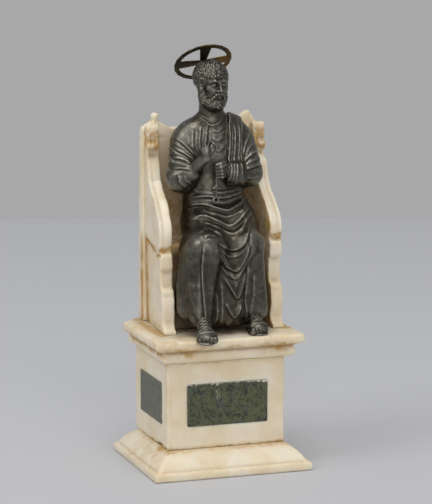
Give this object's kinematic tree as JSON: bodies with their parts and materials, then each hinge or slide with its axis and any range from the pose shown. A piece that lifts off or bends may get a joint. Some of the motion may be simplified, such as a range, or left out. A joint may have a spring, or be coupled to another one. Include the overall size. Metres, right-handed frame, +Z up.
{
  "type": "seated saint statuette",
  "caption": "Cast bronze figure of a bearded, robed saint, blessing, with a pierced halo, seated on a high-backed stone throne on a moulded stone pedestal with inlaid tablets.",
  "frame": {"origin": "middle of the base slab's underside", "axes": "+Z up, -Y the way the figure faces, +X to the viewer's right when facing the front"},
  "size_m": [0.105, 0.0973, 0.2687],
  "materials": {
    "alabaster": "honed, worn and stained with ochre",
    "serpentine": "polished, mottled",
    "bronze": "cast, chased and darkly patinated",
    "halo_brass": "sawn sheet, tarnished, bright on its edges"
  },
  "bodies": {
    "root": {"base_slab": "alabaster", "pedestal_block": "alabaster", "cornice_slab": "alabaster", "front_inlay": "serpentine", "left_inlay": "serpentine", "right_inlay": "serpentine", "throne_back": "alabaster", "throne_arm_left": "alabaster", "throne_arm_right": "alabaster", "throne_seat": "alabaster", "saint_figure": "bronze", "halo": "halo_brass"}
  },
  "joints": []
}
